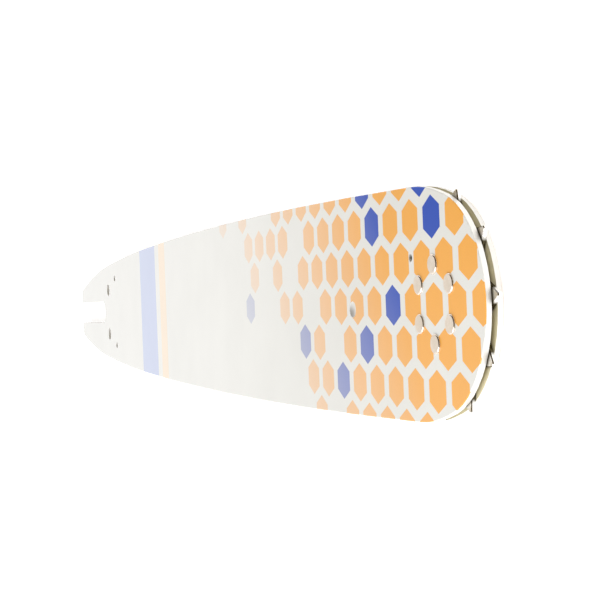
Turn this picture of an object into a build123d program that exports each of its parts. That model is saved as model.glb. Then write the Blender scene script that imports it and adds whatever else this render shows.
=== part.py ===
from build123d import *
import math
import os

# Chainsaw guide bar: two side plates on a core plate, with a toothed sprocket in the nose.
# The bar lies flat. While it is drawn, the sprocket axis is at x = 0, y = 0, the nose points to +X, the
# bar's long centre line is the X axis, and z = 0 is the middle of the bar's thickness.
# Millimetres and degrees.

# Laminations
side_thickness = 1.6
groove_width = 1.6
groove_depth = 8.0
edge_break = 0.2

# Outline. Distances are from the sprocket axis or from the tail's end face, and widths are half widths.
nose_radius = 29.1
nose_setback = 1.4
nose_sweep = 72.0
cheek_distance = 12.0
cheek_half_width = 31.3
belly_distance = 170.0
belly_half_width = 33.6
tail_reach = 508.0
waist_from_tail = 178.0
waist_half_width = 31.1
hip_from_tail = 78.0
hip_half_width = 25.8
tail_half_width = 13.4
tail_corner_radius = 4.0

# Stud slot, open at the tail, and the holes beside it
slot_width = 12.2
slot_depth = 73.0
core_prong_width = 4.0
tensioner_hole_radius = 3.25
tensioner_hole_from_tail = 84.0
tensioner_hole_offset = 12.5
oil_hole_radius = 1.6
oil_hole_from_tail = 103.0
oil_hole_overlap = 1.0

# Nose sprocket
tooth_count = 11
tooth_phase = 3.6
tooth_projection = 1.6
tooth_height = 6.7
tip_width = 0.8
flank_angle = 34.0
root_fillet = 2.0
tooth_edge_break = 0.25
ring_wall = 3.9
sprocket_side_gap = 0.2
sprocket_swing_gap = 1.5

# Bearing inside the sprocket
roller_diameter = 3.6
roller_fit = 0.04
roller_spacing = 0.15

# Nose rivets
rivet_count = 6
rivet_inset = 6.16
rivet_phase = 30.0
rivet_shank_radius = 1.9
rivet_fit = 0.05
rivet_seat = 0.02
rivet_head_radius = 2.62
rivet_head_height = 0.45
rivet_head_rounding = 0.4

# Small marks in the side plates
grease_hole_radius = 1.0
grease_hole_angle = 137.0
dimple_distance = 55.5
dimple_drop = 1.0
dimple_radius = 2.4
dimple_depth = 0.45

# Sizes that follow from the ones above
bar_half_thickness = groove_width / 2 + side_thickness
slot_half_width = slot_width / 2
sprocket_thickness = groove_width - 2 * sprocket_side_gap
tip_radius = nose_radius + tooth_projection
root_radius = tip_radius - tooth_height
bore_radius = root_radius - ring_wall
roller_radius = roller_diameter / 2
roller_circle_radius = bore_radius - roller_fit - roller_radius
race_radius = roller_circle_radius - roller_radius - roller_fit
roller_count = int(2 * math.pi * roller_circle_radius / (roller_diameter + roller_spacing))
rivet_circle_radius = race_radius - rivet_inset
rivet_hole_radius = rivet_shank_radius + rivet_fit


def bar_outline(inset, tail_end_half_width):
    """Flat outline of the bar, drawn an inset inside the rail edge, without holes."""
    tail_end = -tail_reach
    cheek = (-cheek_distance, cheek_half_width - inset)
    belly = (-belly_distance, belly_half_width - inset)
    waist = (tail_end + waist_from_tail, waist_half_width - inset)
    hip = (tail_end + hip_from_tail, hip_half_width - inset)
    with BuildSketch() as sketch:
        with BuildLine():
            nose = CenterArc((-nose_setback, 0), nose_radius - inset, 0, nose_sweep)
            side = ThreePointArc(cheek, belly, waist)
            Spline(nose @ 1, side @ 0, tangents=[nose % 1, side % 0])
            haunch = TangentArc(waist, hip, tangent=side % 1)
            TangentArc(hip, (tail_end, tail_end_half_width), tangent=haunch % 1)
            Line((tail_end, tail_end_half_width), (tail_end, 0))
            mirror(about=Plane.XZ)
        make_face()
    return sketch.sketch


def stud_slot():
    """Stud slot: straight sides, a round front end, and open at the tail."""
    front_centre = -tail_reach + slot_depth - slot_half_width
    straight_length = slot_depth - slot_half_width
    round_end = Pos(front_centre, 0) * Circle(slot_half_width)
    straight_run = Pos(front_centre - straight_length / 2, 0) * Rectangle(straight_length, slot_width)
    return round_end + straight_run


def tail_holes():
    """The tensioner holes and the oil holes, one of each on either side of the centre line."""
    oil_hole_x = -tail_reach + oil_hole_from_tail
    span = (waist_from_tail - oil_hole_from_tail) / (waist_from_tail - hip_from_tail)
    rail_at_oil_hole = waist_half_width + span * (hip_half_width - waist_half_width)
    oil_hole_offset = rail_at_oil_hole - groove_depth + oil_hole_overlap - oil_hole_radius
    holes = Sketch()
    for side in (1, -1):
        tensioner = Pos(-tail_reach + tensioner_hole_from_tail, side * tensioner_hole_offset)
        holes += tensioner * Circle(tensioner_hole_radius)
        holes += Pos(oil_hole_x, side * oil_hole_offset) * Circle(oil_hole_radius)
    return holes


def rivet_places():
    """Centres of the nose rivets, in a ring about the sprocket axis."""
    return PolarLocations(rivet_circle_radius, rivet_count, start_angle=rivet_phase)


def side_plate(facing):
    """Side plate with its outer face up (facing 1) or down (facing -1) and its outer edges broken."""
    face = bar_outline(0, tail_half_width)
    tail_corners = face.vertices().sort_by(Axis.X)[:2]
    face = fillet(tail_corners, tail_corner_radius)
    face -= stud_slot()
    face -= tail_holes()
    face -= rivet_places() * Circle(rivet_hole_radius)
    grease_angle = math.radians(grease_hole_angle)
    grease_place = (
        roller_circle_radius * math.cos(grease_angle),
        roller_circle_radius * math.sin(grease_angle),
    )
    face -= Pos(*grease_place) * Circle(grease_hole_radius)
    plate = extrude(Pos(0, 0, facing * groove_width / 2) * face, facing * side_thickness)
    outer_face = plate.faces().sort_by(Axis.Z, reverse=facing > 0)[0]
    plate = chamfer(outer_face.outer_wire().edges(), edge_break)
    dimple_ball_radius = (dimple_radius**2 + dimple_depth**2) / (2 * dimple_depth)
    dimple_ball_z = facing * (bar_half_thickness + dimple_ball_radius - dimple_depth)
    plate -= Pos(-dimple_distance, -dimple_drop, dimple_ball_z) * Sphere(dimple_ball_radius)
    return plate


def core_plate():
    """Middle lamination, set back from the rails and hollowed round the sprocket."""
    face = bar_outline(groove_depth, slot_half_width + core_prong_width)
    face -= Circle(tip_radius + sprocket_swing_gap)
    face -= stud_slot()
    face -= tail_holes()
    return Pos(0, 0, -groove_width / 2) * extrude(face, groove_width)


def nose_sprocket():
    """Toothed ring that carries the chain round the nose."""
    tip_half_width = tip_width / 2
    root_half_width = tip_half_width + tooth_height * math.tan(math.radians(flank_angle))
    tip_flat = math.sqrt(tip_radius**2 - tip_half_width**2)
    inner_end = math.sqrt(root_radius**2 - root_half_width**2)
    tooth_corners = [
        (0, root_half_width),
        (inner_end, root_half_width),
        (tip_flat, tip_half_width),
        (tip_flat, -tip_half_width),
        (inner_end, -root_half_width),
        (0, -root_half_width),
    ]
    tooth = make_face(Polyline(*tooth_corners, close=True))
    face = Circle(root_radius) + PolarLocations(0, tooth_count, start_angle=tooth_phase) * tooth
    half_way = (root_radius + tip_radius) / 2
    roots = [corner for corner in face.vertices() if math.hypot(corner.X, corner.Y) < half_way]
    face = fillet(roots, root_fillet)
    face -= Circle(bore_radius)
    ring = Pos(0, 0, -sprocket_thickness / 2) * extrude(face, sprocket_thickness)
    for lowest_or_highest in (0, -1):
        side_face = ring.faces().sort_by(Axis.Z)[lowest_or_highest]
        ring = chamfer(side_face.outer_wire().edges(), tooth_edge_break)
    return ring


def bearing_race():
    """Fixed disc that the rollers run on, held between the side plates by the rivets."""
    face = Circle(race_radius) - rivet_places() * Circle(rivet_hole_radius)
    return Pos(0, 0, -groove_width / 2) * extrude(face, groove_width)


def bearing_roller(number):
    """One roller of the full ring between the race and the sprocket's bore."""
    angle = math.radians(360 / roller_count * number)
    place = Pos(roller_circle_radius * math.cos(angle), roller_circle_radius * math.sin(angle), 0)
    return place * Cylinder(roller_radius, sprocket_thickness)


def nose_rivet():
    """One rivet, with a flat rounded head on each face of the bar."""
    head_seat = bar_half_thickness + rivet_seat
    shank = Cylinder(rivet_shank_radius, 2 * head_seat)
    head = Cylinder(rivet_head_radius, rivet_head_height)
    head = fillet(head.edges().group_by(Axis.Z)[-1], rivet_head_rounding)
    head = Pos(0, 0, head_seat + rivet_head_height / 2) * head
    return shank + head + Rot(180, 0, 0) * head


# Build every piece about the sprocket axis
rivet = nose_rivet()
pieces = {
    "side_plate_top": side_plate(1),
    "side_plate_bottom": side_plate(-1),
    "core_plate": core_plate(),
    "nose_sprocket": nose_sprocket(),
    "bearing_race": bearing_race(),
}
for number, place in enumerate(rivet_places(), start=1):
    pieces[f"nose_rivet_{number}"] = place * rivet
for number in range(1, roller_count + 1):
    pieces[f"bearing_roller_{number:02d}"] = bearing_roller(number)

# Set the origin under the middle of the whole bar, on the surface that it lies on
boxes = [piece.bounding_box() for piece in pieces.values()]
low_x = min(box.min.X for box in boxes)
high_x = max(box.max.X for box in boxes)
low_z = min(box.min.Z for box in boxes)
to_origin = Pos(-(low_x + high_x) / 2, 0, -low_z)

os.makedirs("parts", exist_ok=True)
for name, piece in pieces.items():
    export_step(to_origin * piece, f"parts/{name}.step")

sprocket_axis = to_origin.position
print("sprocket axis at x", round(sprocket_axis.X, 4), "middle of the bar at z", round(sprocket_axis.Z, 4))
print("length", round(high_x - low_x, 4), "rollers", roller_count)
print("bore radius", round(bore_radius, 4), "roller ratio", round(bore_radius / (bore_radius + race_radius), 5))
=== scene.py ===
# %% [markdown]
# # A chainsaw guide bar with a sprocket nose
# A guide bar carries the saw chain. Two thin side plates are joined to a narrower core plate, and the gap
# that is left round the edge is the groove that the chain runs in. At the nose a toothed ring turns on small
# rollers, so that the chain goes round with little friction.
# Every piece of metal is already a solid of the right shape. This lesson gives each one its finish, and sets
# up a floor, soft light and a camera.

import math

import bmesh
import bpy
from mathutils import Matrix, Vector


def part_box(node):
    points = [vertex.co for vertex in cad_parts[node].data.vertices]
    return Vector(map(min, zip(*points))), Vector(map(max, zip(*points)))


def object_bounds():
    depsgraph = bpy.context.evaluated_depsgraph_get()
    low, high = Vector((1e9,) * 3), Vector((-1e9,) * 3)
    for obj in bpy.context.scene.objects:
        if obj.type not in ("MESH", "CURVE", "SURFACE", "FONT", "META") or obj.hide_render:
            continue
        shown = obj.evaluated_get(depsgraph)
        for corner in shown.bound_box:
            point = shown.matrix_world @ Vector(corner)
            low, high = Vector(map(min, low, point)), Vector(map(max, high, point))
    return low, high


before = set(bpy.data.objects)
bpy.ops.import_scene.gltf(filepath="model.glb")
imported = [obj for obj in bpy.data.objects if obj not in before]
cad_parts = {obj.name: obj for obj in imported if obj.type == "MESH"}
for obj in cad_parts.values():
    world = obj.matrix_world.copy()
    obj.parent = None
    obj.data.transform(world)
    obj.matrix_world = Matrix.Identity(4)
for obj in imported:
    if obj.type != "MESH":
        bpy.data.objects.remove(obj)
cad_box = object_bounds()

# %% [markdown]
# ## Where things are
# Finishes follow real places on the bar: the printed outer faces, the bare rim, the faces inside the groove.
# We measure those places from the frame instead of typing them in, so they stay right if the bar changes.
# The axis that the sprocket turns on is the natural origin for all of them. It is the middle of the race.

# %% Measure the bar
MM = 0.001
plate_low, plate_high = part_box("side_plate_top")
core_low, core_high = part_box("core_plate")
axis_x = sum(corner.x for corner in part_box("bearing_race")) / 2
face_z = plate_high.z
middle_z = (core_low.z + core_high.z) / 2
plate_thickness = plate_high.z - plate_low.z
groove_width = core_high.z - core_low.z
print("sprocket axis at x", round(axis_x, 5), "face at z", round(face_z, 5))
print("plates", round(plate_thickness / MM, 2), "mm thick, groove", round(groove_width / MM, 2), "mm wide")

# %% [markdown]
# ## Four helpers for materials
# Blender works in linear light, while colours are picked as sRGB hex values, so one function turns one into
# the other. A second one adds a node with its settings and its links, which keeps every material below short
# enough to read. A third works out the scale of a pattern from the real size of its marks, and the last one
# starts an empty material.

# %% Define the helpers
# Sockets of the Mix node, which has one set for each kind of data
FACTOR, VALUE_A, VALUE_B, VECTOR_A, VECTOR_B, COLOUR_A, COLOUR_B = 0, 2, 3, 4, 5, 6, 7
MIXED_VALUE, MIXED_VECTOR, MIXED_COLOUR = 0, 1, 2


def linear(hex_colour):
    """Linear colour, with alpha, of an sRGB hex value such as '#E8E6DE'."""
    channels = [int(hex_colour[start : start + 2], 16) / 255 for start in (1, 3, 5)]
    return [c / 12.92 if c <= 0.04045 else ((c + 0.055) / 1.055) ** 2.4 for c in channels] + [1.0]


def add_node(tree, kind, inputs=None, **options):
    """Adds one node: options are its own settings, and inputs gives its sockets a value or a link."""
    node = tree.nodes.new(kind)
    for option, setting in options.items():
        setattr(node, option, setting)
    for key, value in (inputs or {}).items():
        socket = node.inputs[key]
        if isinstance(value, bpy.types.NodeSocket):
            tree.links.new(value, socket)
        else:
            socket.default_value = value
    return node


def repeats_per_metre(size_mm):
    """Scale of a texture whose marks are size_mm across, where coordinates are metres."""
    return 1.0 / (size_mm * MM)


def new_material(name):
    """An empty material with one Principled shader on its output, as (material, tree, shader)."""
    material = bpy.data.materials.new(name)
    material.use_nodes = True
    tree = material.node_tree
    tree.nodes.clear()
    shader = add_node(tree, "ShaderNodeBsdfPrincipled")
    add_node(tree, "ShaderNodeOutputMaterial", {"Surface": shader.outputs["BSDF"]})
    return material, tree, shader


print("mid grey #808080 is", round(linear("#808080")[0], 3), "in linear light")

# %% [markdown]
# ## The printed side plates: where paint ends and bare steel begins
# The outer face of each plate is sprayed pale grey, printed with ink and sealed with clear lacquer. The rim
# is ground bright after painting, and the inner face keeps its mill finish and a film of oil.
# One plate is one solid, so one material has to hold all three finishes. It could be cut into three
# materials by faces, but then the solid's mesh would have to be edited. Instead, we build masks from the
# height above the middle of the bar and from the direction that the surface faces.

# %% Start the plate material with its places in millimetres
# Print under clear lacquer on sheet steel gives a pale, glossy face with a satin bright rim round it
plate_paint, plate_tree, plate_shader = new_material("printed_lacquered_steel")
place = add_node(plate_tree, "ShaderNodeTexCoord").outputs["Object"]
# Millimetres from the sprocket axis along and across the bar, and from the middle of its thickness
place_mm = add_node(
    plate_tree,
    "ShaderNodeMapping",
    {
        "Vector": place,
        "Location": (-axis_x / MM, 0, -middle_z / MM),
        "Scale": (1 / MM, 1 / MM, 1 / MM),
    },
).outputs["Vector"]
at = add_node(plate_tree, "ShaderNodeSeparateXYZ", {"Vector": place_mm})
flat_place = add_node(
    plate_tree, "ShaderNodeCombineXYZ", {"X": at.outputs["X"], "Y": at.outputs["Y"]}
).outputs["Vector"]
print("places are measured from", [round(axis_x / MM, 2), 0.0, round(middle_z / MM, 2)], "mm")

# %% Mask the paint, the rim and the inner face
# How far a normal points up, where 1 is straight up: more than this on a level face, and on a bevel
level_facing = 0.9
bevel_facing = 0.5
# The split between the outer and the inner face lies in the middle of the plate's thickness
mid_plate_mm = (groove_width / 2 + plate_thickness / 2) / MM
# A dimple near the centre line is punched after painting, so its hollow is bare
dimple_centre_mm = (-55.5, -1.0, 0.0)
dimple_radius_mm = 2.4
normal = add_node(plate_tree, "ShaderNodeNewGeometry").outputs["True Normal"]
facing = add_node(plate_tree, "ShaderNodeSeparateXYZ", {"Vector": normal}).outputs["Z"]
facing_up_or_down = add_node(plate_tree, "ShaderNodeMath", {0: facing}, operation="ABSOLUTE").outputs[0]
is_level = add_node(
    plate_tree, "ShaderNodeMath", {0: facing_up_or_down, 1: level_facing}, operation="GREATER_THAN"
).outputs[0]
# The paint wraps over the small bevel at the upper edge, and is rubbed off the lower one by the bench
is_upper_bevel = add_node(
    plate_tree, "ShaderNodeMath", {0: facing, 1: bevel_facing}, operation="GREATER_THAN"
).outputs[0]
is_smooth = add_node(
    plate_tree, "ShaderNodeMath", {0: is_level, 1: is_upper_bevel}, operation="MAXIMUM"
).outputs[0]
from_dimple = add_node(
    plate_tree, "ShaderNodeVectorMath", {0: flat_place, 1: dimple_centre_mm}, operation="DISTANCE"
).outputs["Value"]
off_dimple = add_node(
    plate_tree, "ShaderNodeMath", {0: from_dimple, 1: dimple_radius_mm}, operation="GREATER_THAN"
).outputs[0]
is_face = add_node(
    plate_tree, "ShaderNodeMath", {0: is_smooth, 1: off_dimple}, operation="MULTIPLY"
).outputs[0]
is_ground = add_node(plate_tree, "ShaderNodeMath", {0: 1.0, 1: is_face}, operation="SUBTRACT").outputs[0]
height = add_node(plate_tree, "ShaderNodeMath", {0: at.outputs["Z"]}, operation="ABSOLUTE").outputs[0]
is_outer = add_node(
    plate_tree, "ShaderNodeMath", {0: height, 1: mid_plate_mm}, operation="GREATER_THAN"
).outputs[0]
is_painted = add_node(
    plate_tree, "ShaderNodeMath", {0: is_face, 1: is_outer}, operation="MULTIPLY"
).outputs[0]
is_inner = add_node(
    plate_tree, "ShaderNodeMath", {0: is_face, 1: is_painted}, operation="SUBTRACT"
).outputs[0]
print("paint lies more than", round(mid_plate_mm, 2), "mm from the middle of the bar")

# %% [markdown]
# ## The print: a honeycomb that thins out towards the saw
# The print is a field of hexagons in orange ink with a few in blue. A honeycomb could be modelled as thin
# pieces of film, but ink has no thickness that the eye can see, so it is drawn in the material.
# A hexagon grid is two square-cornered grids laid over each other. For each point we take the nearer of the
# two grid centres, and the distance to that centre, measured as a hexagon, says whether there is ink.

# %% Lay two grids over each other
hexagon_width_mm = 10.0
hexagon_gap_mm = 3.0
pitch_mm = hexagon_width_mm + hexagon_gap_mm
ROOT_3 = math.sqrt(3)
grid_step = (1.0, ROOT_3, 1.0)
half_step = (0.5, ROOT_3 / 2, 0.5)
# A vector times this keeps only its part in the plane of the bar
without_height = (1.0, 1.0, 0.0)
cells = add_node(
    plate_tree, "ShaderNodeVectorMath", {0: flat_place, "Scale": 1 / pitch_mm}, operation="SCALE"
).outputs[0]
shifted = add_node(plate_tree, "ShaderNodeVectorMath", {0: cells, 1: half_step}, operation="ADD").outputs[0]
even_centre = add_node(
    plate_tree, "ShaderNodeVectorMath", {0: shifted, 1: grid_step}, operation="SNAP"
).outputs[0]
odd_corner = add_node(
    plate_tree, "ShaderNodeVectorMath", {0: cells, 1: grid_step}, operation="SNAP"
).outputs[0]
odd_centre = add_node(
    plate_tree, "ShaderNodeVectorMath", {0: odd_corner, 1: half_step}, operation="ADD"
).outputs[0]
offsets = {}
distances = {}
for grid, grid_centre in (("even", even_centre), ("odd", odd_centre)):
    to_centre = add_node(
        plate_tree, "ShaderNodeVectorMath", {0: cells, 1: grid_centre}, operation="SUBTRACT"
    ).outputs[0]
    offsets[grid] = add_node(
        plate_tree, "ShaderNodeVectorMath", {0: to_centre, 1: without_height}, operation="MULTIPLY"
    ).outputs[0]
    distances[grid] = add_node(
        plate_tree, "ShaderNodeVectorMath", {0: offsets[grid]}, operation="LENGTH"
    ).outputs["Value"]
print("hexagons", hexagon_width_mm, "mm wide, every", pitch_mm, "mm")

# %% Find the hexagon that each point belongs to
slanted_side = (0.5, ROOT_3 / 2, 0.0)
odd_is_nearer = add_node(
    plate_tree, "ShaderNodeMath", {0: distances["odd"], 1: distances["even"]}, operation="LESS_THAN"
).outputs[0]
centre = add_node(
    plate_tree,
    "ShaderNodeMix",
    {FACTOR: odd_is_nearer, VECTOR_A: even_centre, VECTOR_B: odd_centre},
    data_type="VECTOR",
).outputs[MIXED_VECTOR]
offset = add_node(
    plate_tree,
    "ShaderNodeMix",
    {FACTOR: odd_is_nearer, VECTOR_A: offsets["even"], VECTOR_B: offsets["odd"]},
    data_type="VECTOR",
).outputs[MIXED_VECTOR]
# A hexagon's four quarters are alike, so the distance is measured in one of them
quarter = add_node(plate_tree, "ShaderNodeVectorMath", {0: offset}, operation="ABSOLUTE").outputs[0]
to_upright_side = add_node(plate_tree, "ShaderNodeSeparateXYZ", {"Vector": quarter}).outputs["X"]
to_slanted_side = add_node(
    plate_tree, "ShaderNodeVectorMath", {0: quarter, 1: slanted_side}, operation="DOT_PRODUCT"
).outputs["Value"]
hexagon_reach = add_node(
    plate_tree, "ShaderNodeMath", {0: to_upright_side, 1: to_slanted_side}, operation="MAXIMUM"
).outputs[0]
print("a hexagon reaches", hexagon_width_mm / 2, "mm to each of its sides")

# %% [markdown]
# ## Which hexagons are printed, and in what ink
# Each hexagon's own centre gives it a fixed random number. Near the nose every number is printed, and
# further back only the low ones, so the field dissolves along a slanted line. Because the number belongs to
# the whole cell, a hexagon is either there or not, and never half there. The ink also turns paler towards
# the saw and towards one edge, along a slant of its own, from full colour at the nose to the bare paint.
# This paleness is painted glare, a wash of light over the far end.

# %% Choose the printed hexagons
full_from_mm = -46.0
bare_from_mm = -176.0
print_slant = 1.3
blue_share = 0.08
ink_edge_mm = 0.12
centre_mm = add_node(
    plate_tree, "ShaderNodeVectorMath", {0: centre, "Scale": pitch_mm}, operation="SCALE"
).outputs[0]
along_the_print = add_node(
    plate_tree, "ShaderNodeVectorMath", {0: centre_mm, 1: (1.0, print_slant, 0.0)}, operation="DOT_PRODUCT"
).outputs["Value"]
share_printed = add_node(
    plate_tree,
    "ShaderNodeMapRange",
    {"Value": along_the_print, "From Min": bare_from_mm, "From Max": full_from_mm},
).outputs["Result"]
chance = add_node(plate_tree, "ShaderNodeTexWhiteNoise", {"Vector": centre}, noise_dimensions="3D")
chances = add_node(plate_tree, "ShaderNodeSeparateColor", {"Color": chance.outputs["Color"]})
cell_is_printed = add_node(
    plate_tree, "ShaderNodeMath", {0: chances.outputs["Red"], 1: share_printed}, operation="LESS_THAN"
).outputs[0]
cell_is_blue = add_node(
    plate_tree, "ShaderNodeMath", {0: chances.outputs["Green"], 1: blue_share}, operation="LESS_THAN"
).outputs[0]
hexagon_edge = hexagon_width_mm / 2 / pitch_mm
inside = add_node(
    plate_tree,
    "ShaderNodeMapRange",
    {
        "Value": hexagon_reach,
        "From Min": hexagon_edge - ink_edge_mm / pitch_mm,
        "From Max": hexagon_edge,
        "To Min": 1.0,
        "To Max": 0.0,
    },
).outputs["Result"]
hexagon_ink = add_node(
    plate_tree, "ShaderNodeMath", {0: inside, 1: cell_is_printed}, operation="MULTIPLY"
).outputs[0]
print("print is full to", full_from_mm, "mm and gone at", bare_from_mm, "mm behind the sprocket axis")

# %% Ink the hexagons over the grey paint
pale_grey_paint = linear("#EAEAE5")
orange_ink = linear("#F9B353")
blue_ink = linear("#2E54BC")
# Painted glare: the ink washes out to the bare paint between these places, along a slant towards one edge
fade_from_mm = -20.0
fade_to_mm = -225.0
fade_slant = 0.7
full_ink = add_node(
    plate_tree,
    "ShaderNodeMix",
    {FACTOR: cell_is_blue, COLOUR_A: orange_ink, COLOUR_B: blue_ink},
    data_type="RGBA",
).outputs[MIXED_COLOUR]
along_the_fade = add_node(
    plate_tree, "ShaderNodeVectorMath", {0: flat_place, 1: (1.0, fade_slant, 0.0)}, operation="DOT_PRODUCT"
).outputs["Value"]
painted_glare = add_node(
    plate_tree,
    "ShaderNodeMapRange",
    {"Value": along_the_fade, "From Min": fade_from_mm, "From Max": fade_to_mm},
).outputs["Result"]
glare_washed_ink = add_node(
    plate_tree,
    "ShaderNodeMix",
    {FACTOR: painted_glare, COLOUR_A: full_ink, COLOUR_B: pale_grey_paint},
    data_type="RGBA",
).outputs[MIXED_COLOUR]
printed = add_node(
    plate_tree,
    "ShaderNodeMix",
    {FACTOR: hexagon_ink, COLOUR_A: pale_grey_paint, COLOUR_B: glare_washed_ink},
    data_type="RGBA",
).outputs[MIXED_COLOUR]
print("ink fades from", fade_from_mm, "mm to nothing at", fade_to_mm, "mm")

# %% [markdown]
# ## Two plain bands across the bar
# Near the saw end the print closes with a wide blue band and a narrow orange one, in pale inks that hold
# painted glare, the wash of light over the far end. A band is everything whose distance from the band's
# middle line is less than half its width, which one Compare node tests.

# %% Add the bands
# Place along the bar, width and ink
# The inks are pale, with painted glare in them
bands = (
    (-323.5, 33.0, "#BAC6EA"),
    (-293.0, 12.0, "#F8E2C6"),
)
for band_mm, width_mm, ink in bands:
    in_band = add_node(
        plate_tree,
        "ShaderNodeMath",
        {0: at.outputs["X"], 1: band_mm, 2: width_mm / 2},
        operation="COMPARE",
    ).outputs[0]
    printed = add_node(
        plate_tree,
        "ShaderNodeMix",
        {FACTOR: in_band, COLOUR_A: printed, COLOUR_B: linear(ink)},
        data_type="RGBA",
    ).outputs[MIXED_COLOUR]
    print("band", width_mm, "mm wide at", band_mm, "mm")

# %% [markdown]
# ## The paint film itself
# Sprayed paint is never quite even. It has a fine grain from the pigment and soft clouds where the coat is
# thicker, and clear lacquer on top dries to a gentle ripple that painters call orange peel. Grain and clouds
# change the colour by a few percent. The ripple is a bump, because it only bends the reflections.

# %% Give the paint its grain, clouds and ripple
# Size in millimetres and detail. Real pigment is finer, and its grain is this coarse so that it shows.
film_patterns = {"grain": (0.35, 2.0), "clouds": (28.0, 3.0), "ripple": (1.6, 2.0)}
# Grain and clouds are near 0.5 each, and their sum sets how light the paint is
uneven_low, uneven_high = 0.6, 1.4
darkest_paint, lightest_paint = 0.955, 1.03
glossiest_paint, dullest_paint = 0.30, 0.44
film = {}
for pattern, (size_mm, detail) in film_patterns.items():
    film[pattern] = add_node(
        plate_tree,
        "ShaderNodeTexNoise",
        {"Vector": place, "Scale": repeats_per_metre(size_mm), "Detail": detail},
    ).outputs[0]
    print("paint", pattern, size_mm, "mm")
unevenness = add_node(
    plate_tree, "ShaderNodeMath", {0: film["grain"], 1: film["clouds"]}, operation="ADD"
).outputs[0]
lightness = add_node(
    plate_tree,
    "ShaderNodeMapRange",
    {
        "Value": unevenness,
        "From Min": uneven_low,
        "From Max": uneven_high,
        "To Min": darkest_paint,
        "To Max": lightest_paint,
    },
).outputs["Result"]
paint_colour = add_node(
    plate_tree, "ShaderNodeHueSaturation", {"Color": printed, "Value": lightness}
).outputs["Color"]
paint_roughness = add_node(
    plate_tree,
    "ShaderNodeMapRange",
    {"Value": film["clouds"], "To Min": glossiest_paint, "To Max": dullest_paint},
).outputs["Result"]

# %% [markdown]
# ## The bright rim
# The rim is ground along its length, so it shows fine lines that run round the bar. A brushed image could be
# wrapped round it, but the lines are simply a noise that changes fast across the plate's thickness and slowly
# along it, and that needs no wrapping. The hollow of the dimple is bare in the same way.

# %% Grind the rim
# Real grinding lines are finer, and are this wide so that they show
grind_line_mm = 0.16
grind_length_mm = 6.0
bright_steel = linear("#FAF9F6")
worn_steel = linear("#EAE8E2")
smoothest_rim, roughest_rim = 0.5, 0.68
stretched = add_node(
    plate_tree,
    "ShaderNodeMapping",
    {
        "Vector": place,
        "Scale": (
            repeats_per_metre(grind_length_mm),
            repeats_per_metre(grind_length_mm),
            repeats_per_metre(grind_line_mm),
        ),
    },
).outputs["Vector"]
grind = add_node(
    plate_tree, "ShaderNodeTexNoise", {"Vector": stretched, "Scale": 1.0, "Detail": 3.0}
).outputs[0]
rim_colour = add_node(
    plate_tree,
    "ShaderNodeMix",
    {FACTOR: grind, COLOUR_A: worn_steel, COLOUR_B: bright_steel},
    data_type="RGBA",
).outputs[MIXED_COLOUR]
rim_roughness = add_node(
    plate_tree, "ShaderNodeMapRange", {"Value": grind, "To Min": smoothest_rim, "To Max": roughest_rim}
).outputs["Result"]
print("grinding lines", grind_line_mm, "mm wide and", grind_length_mm, "mm long")

# %% [markdown]
# ## The oily inside
# The inner face is mill steel under old oil, brown and green, in blotches a few millimetres across. Deep
# inside the nose it is painted nearly black, a painted shade for the shadow deep in the groove. How deep a
# point lies there is its distance from the centre of the nose's round. Painted vertices could hold that, but
# the solid's mesh is left alone.

# %% Oil the inner face and paint its shade
blotch_mm = 4.5
olive_oil = linear("#F0E9CC")
dark_oil = linear("#CBC197")
# Painted shade: the near-black for the shadow deep in the groove and round the sprocket's roots
painted_shade_colour = linear("#4A4330")
# The nose is rounded about a point a little behind the sprocket's axis
nose_centre_mm = (-1.4, 0.0, 0.0)
# The painted shade starts this far from the nose's centre, and is full black within the second distance
shade_starts_mm = 26.3
shade_black_from_mm = 25.0
blotches = add_node(
    plate_tree,
    "ShaderNodeTexNoise",
    {"Vector": place, "Scale": repeats_per_metre(blotch_mm), "Detail": 4.0},
).outputs[0]
thin_oil_colour = add_node(
    plate_tree,
    "ShaderNodeMix",
    {FACTOR: blotches, COLOUR_A: dark_oil, COLOUR_B: olive_oil},
    data_type="RGBA",
).outputs[MIXED_COLOUR]
from_nose_centre = add_node(
    plate_tree, "ShaderNodeVectorMath", {0: flat_place, 1: nose_centre_mm}, operation="DISTANCE"
).outputs["Value"]
painted_shade_depth = add_node(
    plate_tree,
    "ShaderNodeMapRange",
    {"Value": from_nose_centre, "From Min": shade_starts_mm, "From Max": shade_black_from_mm},
    interpolation_type="SMOOTHSTEP",
).outputs["Result"]
shaded_inner_colour = add_node(
    plate_tree,
    "ShaderNodeMix",
    {FACTOR: painted_shade_depth, COLOUR_A: thin_oil_colour, COLOUR_B: painted_shade_colour},
    data_type="RGBA",
).outputs[MIXED_COLOUR]
# The black here is painted shade
print("oil is black within", shade_black_from_mm, "mm of the nose's centre")

# %% [markdown]
# ## One shader for the three finishes
# The masks now choose between the finishes, socket by socket. Only the ground steel is metallic, because oil
# and paint hide the metal under them. The gloss of the painted face comes from the lacquer alone, a coat over
# the paint, so the shader's own shine is off.

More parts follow.
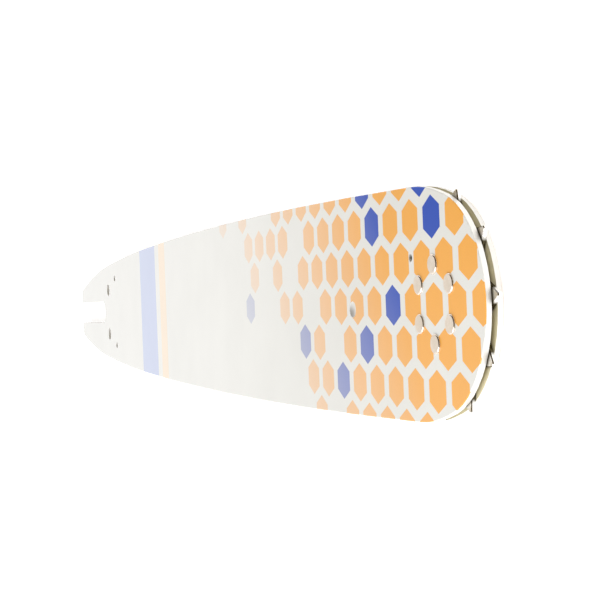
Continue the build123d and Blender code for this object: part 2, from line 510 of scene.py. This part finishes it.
# %% Join paint, rim and inner face
relief_mm = 0.02
relief_strength = 0.25
lacquer_roughness = 0.14
bare_colour = add_node(
    plate_tree,
    "ShaderNodeMix",
    {FACTOR: is_inner, COLOUR_A: rim_colour, COLOUR_B: shaded_inner_colour},
    data_type="RGBA",
).outputs[MIXED_COLOUR]
plate_colour = add_node(
    plate_tree,
    "ShaderNodeMix",
    {FACTOR: is_painted, COLOUR_A: bare_colour, COLOUR_B: paint_colour},
    data_type="RGBA",
).outputs[MIXED_COLOUR]
plate_roughness = add_node(
    plate_tree,
    "ShaderNodeMix",
    {FACTOR: is_painted, VALUE_A: rim_roughness, VALUE_B: paint_roughness},
    data_type="FLOAT",
).outputs[MIXED_VALUE]
relief = add_node(
    plate_tree,
    "ShaderNodeMix",
    {FACTOR: is_face, VALUE_A: grind, VALUE_B: film["ripple"]},
    data_type="FLOAT",
).outputs[MIXED_VALUE]
plate_bump = add_node(
    plate_tree,
    "ShaderNodeBump",
    {"Height": relief, "Strength": relief_strength, "Distance": relief_mm * MM},
).outputs["Normal"]
for socket, source in (
    ("Base Color", plate_colour),
    ("Metallic", is_ground),
    ("Roughness", plate_roughness),
    ("Normal", plate_bump),
    ("Coat Weight", is_painted),
):
    plate_tree.links.new(source, plate_shader.inputs[socket])
plate_shader.inputs["Coat Roughness"].default_value = lacquer_roughness
plate_shader.inputs["Specular IOR Level"].default_value = 0.0
print("plate material has", len(plate_tree.nodes), "nodes")

# %% [markdown]
# ## Bare steel, with the marks of its making
# The other pieces are bare steel, each made in its own way. Tint, roughness and the direction and size of the
# marks tell them apart, so one function with a few settings can make them all.
# On a pressed piece the flat faces come out matt, with a film of oil, while the sides are burnished by the
# tool that cut or closed them. So the material asks which way the surface faces, and polishes the sides.

# %% A function for the marks and stains
stain_to_mark = 6


def marks_and_stains(tree, place, mark_mm, stretch):
    """Tool marks of one size, drawn out along x, y, z, and the larger stains among them."""
    scale = [repeats_per_metre(mark_mm * along) for along in stretch]
    marks_at = add_node(tree, "ShaderNodeMapping", {"Vector": place, "Scale": scale}).outputs["Vector"]
    marks = add_node(tree, "ShaderNodeTexNoise", {"Vector": marks_at, "Scale": 1.0, "Detail": 3.0}).outputs[0]
    stains = add_node(
        tree,
        "ShaderNodeTexNoise",
        {"Vector": place, "Scale": repeats_per_metre(stain_to_mark * mark_mm), "Detail": 2.0},
    ).outputs[0]
    return marks, stains


print("stains are", stain_to_mark, "times as large as marks")

# %% A function for painted shade round the sprocket's axis
# Width of the soft edge of the painted shade
shade_edge_mm = 0.5


def shaded_near_axis(tree, place, colour, shade_reach_mm):
    """The colour, turned dark near the sprocket's axis by painted shade, for the shadow where the plates
    cover it.
    """
    from_axis = add_node(
        tree, "ShaderNodeVectorMath", {0: place, 1: (axis_x, 0, 0)}, operation="SUBTRACT"
    ).outputs[0]
    in_plane = add_node(
        tree, "ShaderNodeVectorMath", {0: from_axis, 1: without_height}, operation="MULTIPLY"
    ).outputs[0]
    radius = add_node(tree, "ShaderNodeVectorMath", {0: in_plane}, operation="LENGTH").outputs["Value"]
    shade_weight = add_node(
        tree,
        "ShaderNodeMapRange",
        {
            "Value": radius,
            "From Min": (shade_reach_mm + shade_edge_mm) * MM,
            "From Max": (shade_reach_mm - shade_edge_mm) * MM,
        },
    ).outputs["Result"]
    return add_node(
        tree,
        "ShaderNodeMix",
        {FACTOR: shade_weight, COLOUR_A: colour, COLOUR_B: painted_shade_colour},
        data_type="RGBA",
    ).outputs[MIXED_COLOUR]


# The edge printed here is that of the painted shade
print("oil ends over", 2 * shade_edge_mm, "mm")

# %% A function for steel with its marks
# On a side, a normal points up or down by less than this, where 1 is straight up or down
side_facing = 0.93
side_polish = 0.5
marks_strength = 0.3
# The usual range of marks times stains, and of the marks alone
tint_low, tint_high = 0.12, 0.38
marks_low, marks_high = 0.25, 0.75


def tooled_steel(name, light, dark, mark_mm, stretch, roughness, bump_mm, face_metallic=1.0, shade_reach_mm=0.0):
    """Bare steel with matt, stained faces and polished sides.

    Marks of mark_mm are drawn out along x, y, z by stretch, and roughness is its lowest and highest value.
    A film of oil makes the faces less metallic, and painted shade darkens the colour near the sprocket's
    axis.
    """
    material, tree, shader = new_material(name)
    place = add_node(tree, "ShaderNodeTexCoord").outputs["Object"]
    normal = add_node(tree, "ShaderNodeNewGeometry").outputs["True Normal"]
    facing = add_node(tree, "ShaderNodeSeparateXYZ", {"Vector": normal}).outputs["Z"]
    facing_up_or_down = add_node(tree, "ShaderNodeMath", {0: facing}, operation="ABSOLUTE").outputs[0]
    is_side = add_node(
        tree, "ShaderNodeMath", {0: facing_up_or_down, 1: side_facing}, operation="LESS_THAN"
    ).outputs[0]
    marks, stains = marks_and_stains(tree, place, mark_mm, stretch)
    blend = add_node(tree, "ShaderNodeMath", {0: marks, 1: stains}, operation="MULTIPLY").outputs[0]
    face_tint = add_node(
        tree, "ShaderNodeMapRange", {"Value": blend, "From Min": tint_low, "From Max": tint_high}
    ).outputs["Result"]
    tint = add_node(tree, "ShaderNodeMath", {0: face_tint, 1: is_side}, operation="MAXIMUM").outputs[0]
    colour = add_node(
        tree,
        "ShaderNodeMix",
        {FACTOR: tint, COLOUR_A: linear(dark), COLOUR_B: linear(light)},
        data_type="RGBA",
    ).outputs[MIXED_COLOUR]
    # Painted shade near the axis, for the shadow of the plates on the sprocket
    if shade_reach_mm:
        colour = shaded_near_axis(tree, place, colour, shade_reach_mm)
    face_roughness = add_node(
        tree,
        "ShaderNodeMapRange",
        {
            "Value": marks,
            "From Min": marks_low,
            "From Max": marks_high,
            "To Min": roughness[0],
            "To Max": roughness[1],
        },
    ).outputs["Result"]
    polish = add_node(
        tree, "ShaderNodeMapRange", {"Value": is_side, "To Min": 1.0, "To Max": side_polish}
    ).outputs["Result"]
    all_roughness = add_node(
        tree, "ShaderNodeMath", {0: face_roughness, 1: polish}, operation="MULTIPLY"
    ).outputs[0]
    metallic = add_node(
        tree, "ShaderNodeMapRange", {"Value": is_side, "To Min": face_metallic, "To Max": 1.0}
    ).outputs["Result"]
    bump = add_node(
        tree, "ShaderNodeBump", {"Height": marks, "Strength": marks_strength, "Distance": bump_mm * MM}
    ).outputs["Normal"]
    for socket, source in (
        ("Base Color", colour),
        ("Metallic", metallic),
        ("Roughness", all_roughness),
        ("Normal", bump),
    ):
        tree.links.new(source, shader.inputs[socket])
    return material


print("sides have", side_polish, "times the roughness of faces")

# %% [markdown]
# ## Four kinds of bare steel
# The core is cold-rolled sheet, oily and dull. The sprocket is stamped and hardened, the race and rollers are
# bearing steel, fine-ground, and the rivets are nickel plated. Each could have a material of its own from
# nothing, but they differ only in their settings.

# %% Make the four steels
# The marks on real steel are finer, and are this coarse so that they show
# Rolling draws the marks out along the bar, and leaves the sheet dull and brown with oil
rolled_steel = tooled_steel(
    "cold_rolled_core_steel",
    light="#9A927C",
    dark="#5F5844",
    mark_mm=0.8,
    stretch=(8, 1, 1),
    roughness=(0.38, 0.6),
    bump_mm=0.01,
)
# Stamping leaves a pale skin with brown stains, painted black as shade where the plates cover it
stamped_steel = tooled_steel(
    "stamped_sprocket_steel",
    light="#F1EFEA",
    dark="#BFAF8C",
    mark_mm=0.5,
    stretch=(1, 1, 1),
    roughness=(0.3, 0.44),
    bump_mm=0.003,
    face_metallic=0.3,
    shade_reach_mm=28.5,
)
# Fine grinding gives a grey mirror with very short marks
bearing_steel = tooled_steel(
    "polished_bearing_steel",
    light="#CFCFCC",
    dark="#A9A8A4",
    mark_mm=0.3,
    stretch=(1, 1, 0.3),
    roughness=(0.1, 0.22),
    bump_mm=0.01,
)
# Nickel is warm and bright, and pressing the heads leaves their flat tops satin
nickel_plate = tooled_steel(
    "nickel_plated_rivet_steel",
    light="#F1E5D6",
    dark="#E3D5C3",
    mark_mm=0.6,
    stretch=(1, 1, 1),
    roughness=(0.36, 0.5),
    bump_mm=0.003,
    face_metallic=0.25,
)
print("steels", [steel.name for steel in (rolled_steel, stamped_steel, bearing_steel, nickel_plate)])

# %% [markdown]
# ## Give every piece its material
# A piece is told apart by its name. The rollers and rivets are numbered, so we match the beginning of the
# name and not the whole.

# %% Assign the materials
finishes = {
    "side_plate": plate_paint,
    "core_plate": rolled_steel,
    "nose_sprocket": stamped_steel,
    "bearing_race": bearing_steel,
    "bearing_roller": bearing_steel,
    "nose_rivet": nickel_plate,
}
for node_name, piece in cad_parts.items():
    finish = next(material for start, material in finishes.items() if node_name.startswith(start))
    piece.data.materials.clear()
    piece.data.materials.append(finish)
print("finished", len(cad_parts), "pieces")

# %% [markdown]
# ## The floor
# The bar lies on a plain white floor. The floor is lit like anything else, so it keeps the bar's shadow, and
# a little light of its own for what the camera and the reflections see lifts it to white.

# %% Make the floor
# Metres from the middle to each edge, so that no view shows where the floor ends
floor_reach = 20.0
floor_mesh = bmesh.new()
bmesh.ops.create_grid(floor_mesh, x_segments=1, y_segments=1, size=floor_reach)
bmesh.ops.translate(floor_mesh, verts=floor_mesh.verts, vec=(0, 0, cad_box[0].z))
floor_data = bpy.data.meshes.new("studio_floor")
floor_mesh.to_mesh(floor_data)
floor_mesh.free()
floor = bpy.data.objects.new("studio_floor", floor_data)
bpy.context.scene.collection.objects.link(floor)
print("floor at z", round(cad_box[0].z, 5))

# %% Paint the floor
floor_lift = 0.7
# Matt paint scatters light evenly, so the floor shows a soft shadow and mirrors nothing
floor_paint = bpy.data.materials.new("matt_white_floor")
floor_paint.use_nodes = True
floor_tree = floor_paint.node_tree
floor_tree.nodes.clear()
path = add_node(floor_tree, "ShaderNodeLightPath")
seen_or_mirrored = add_node(
    floor_tree,
    "ShaderNodeMath",
    {0: path.outputs["Is Camera Ray"], 1: path.outputs["Is Glossy Ray"]},
    operation="MAXIMUM",
).outputs[0]
seen_at_all = add_node(
    floor_tree,
    "ShaderNodeMath",
    {0: seen_or_mirrored, 1: path.outputs["Is Transmission Ray"]},
    operation="MAXIMUM",
).outputs[0]
lift = add_node(
    floor_tree, "ShaderNodeMath", {0: seen_at_all, 1: floor_lift}, operation="MULTIPLY"
).outputs[0]
matt = add_node(floor_tree, "ShaderNodeBsdfDiffuse", {"Color": linear("#EDEDED")})
glow = add_node(floor_tree, "ShaderNodeEmission", {"Color": linear("#FFFFFF"), "Strength": lift})
matt_and_glow = add_node(floor_tree, "ShaderNodeAddShader", {0: matt.outputs[0], 1: glow.outputs[0]})
add_node(floor_tree, "ShaderNodeOutputMaterial", {"Surface": matt_and_glow.outputs[0]})
floor.data.materials.append(floor_paint)
print("floor lifted by", floor_lift)

# %% [markdown]
# ## The room
# Steel shows what is around it, so a room that is white all over makes it look like plaster. The room here is
# white on one side and dark brown high up on the other, which gives the rivets and teeth their dark edges.
# Near the horizon it is white all round, so the floor meets a white wall.
# Low behind the saw end is a bright cove. Lacquer mirrors more at a shallow angle, so the cove whitens the
# far end of the bar and not the nose. Panels could be modelled for all this, but a world that changes with
# direction does the same and never stands in the camera's way.

# %% Paint the walls
wall_white = linear("#FFFFFF")
wall_brown = linear("#4A3A20")
# The wall turns brown as a direction turns towards this one, measured by the cosine between them
brown_side = (0.34, 0.94, 0.0)
white_before = -0.45
brown_after = -0.15
# It is white near the horizon, measured by the sine of the height above it
white_below = 0.1
brown_above = 0.22
world = bpy.data.worlds.new("white_studio")
bpy.context.scene.world = world
world.use_nodes = True
room_tree = world.node_tree
room_tree.nodes.clear()
# In a world, Generated coordinates are the direction in which a ray leaves
direction = add_node(room_tree, "ShaderNodeTexCoord").outputs["Generated"]
toward = add_node(room_tree, "ShaderNodeSeparateXYZ", {"Vector": direction})
toward_brown = add_node(
    room_tree, "ShaderNodeVectorMath", {0: direction, 1: brown_side}, operation="DOT_PRODUCT"
).outputs["Value"]
on_brown_side = add_node(
    room_tree,
    "ShaderNodeMapRange",
    {"Value": toward_brown, "From Min": white_before, "From Max": brown_after},
    interpolation_type="SMOOTHSTEP",
).outputs["Result"]
high_up = add_node(
    room_tree,
    "ShaderNodeMapRange",
    {"Value": toward.outputs["Z"], "From Min": white_below, "From Max": brown_above},
    interpolation_type="SMOOTHSTEP",
).outputs["Result"]
is_brown = add_node(
    room_tree, "ShaderNodeMath", {0: on_brown_side, 1: high_up}, operation="MULTIPLY"
).outputs[0]
walls = add_node(
    room_tree,
    "ShaderNodeMix",
    {FACTOR: is_brown, COLOUR_A: wall_white, COLOUR_B: wall_brown},
    data_type="RGBA",
).outputs[MIXED_COLOUR]
print("brown wall towards", brown_side)

# %% Light the cove behind the saw end
cove_level = 1.4
cove_full_below = 0.28
cove_ends_above = 0.46
cove_full_behind = -0.5
cove_ends_before = -0.2
low_down = add_node(
    room_tree,
    "ShaderNodeMapRange",
    {
        "Value": toward.outputs["Z"],
        "From Min": cove_full_below,
        "From Max": cove_ends_above,
        "To Min": cove_level,
        "To Max": 0.0,
    },
    interpolation_type="SMOOTHSTEP",
).outputs["Result"]
behind = add_node(
    room_tree,
    "ShaderNodeMapRange",
    {
        "Value": toward.outputs["X"],
        "From Min": cove_full_behind,
        "From Max": cove_ends_before,
        "To Min": 1.0,
        "To Max": 0.0,
    },
    interpolation_type="SMOOTHSTEP",
).outputs["Result"]
cove = add_node(room_tree, "ShaderNodeMath", {0: low_down, 1: behind}, operation="MULTIPLY").outputs[0]
room = add_node(room_tree, "ShaderNodeVectorMath", {0: walls, 1: cove}, operation="MAXIMUM").outputs[0]
background = add_node(room_tree, "ShaderNodeBackground", {"Color": room, "Strength": 1.0})
add_node(room_tree, "ShaderNodeOutputWorld", {"Surface": background.outputs[0]})
print("cove at", cove_level, "times white")

# %% [markdown]
# ## Two soft lamps
# One large soft lamp stands beside the bar, on the white side of the room, and a second one in front of the
# nose shines into the groove. Shiny surfaces don't mirror the second one, which would put a spot on the
# lacquer that a room of white walls wouldn't show.

# %% Hang the lamps
nose = Vector((axis_x, 0, face_z))
# Name, direction from the nose, distance and width in metres, watts, and whether shiny surfaces mirror it
lamps = (
    ("soft_key", (0.05, -0.7, 0.75), 1.4, 1.1, 11.0, True),
    ("soft_fill", (0.85, 0.25, 0.6), 1.2, 0.8, 7.5, False),
)
for lamp_name, lamp_direction, distance, width, watts, mirrored in lamps:
    lamp_data = bpy.data.lights.new(lamp_name, "AREA")
    lamp_data.shape = "DISK"
    lamp_data.size = width
    lamp_data.energy = watts
    lamp = bpy.data.objects.new(lamp_name, lamp_data)
    outward = Vector(lamp_direction).normalized()
    lamp.location = nose + distance * outward
    lamp.rotation_euler = outward.to_track_quat("Z", "Y").to_euler()
    lamp.visible_glossy = mirrored
    bpy.context.scene.collection.objects.link(lamp)
    print(lamp_name, "at", [round(c, 2) for c in lamp.location])

# %% [markdown]
# ## The camera
# The view is from just in front of the nose and a little above the printed face, along the bar. Its up
# direction is the bar's width, so the bar stands on edge in the picture. We give a place, a point to look
# at and an up direction, and build the camera's turn from those three.

# %% Set up the camera
camera_from_nose = Vector((294.5, 2.26, 142.6)) * MM
aim_from_nose = Vector((-101.5, 2.47, 0.0)) * MM
picture_up = Vector((0.0142, 0.9992, -0.0364))
camera_data = bpy.data.cameras.new("camera")
camera_data.sensor_width = 36.0
camera_data.lens = 76.09
camera_data.clip_start = 0.01
camera = bpy.data.objects.new("camera", camera_data)
bpy.context.scene.collection.objects.link(camera)
backward = (camera_from_nose - aim_from_nose).normalized()
right = picture_up.cross(backward).normalized()
up = backward.cross(right)
turn = Matrix((right, up, backward)).transposed()
camera.matrix_world = Matrix.Translation(nose + camera_from_nose) @ turn.to_4x4()
bpy.context.scene.camera = camera
bpy.context.scene.view_settings.view_transform = "Standard"
print("camera at", [round(c, 4) for c in camera.location])
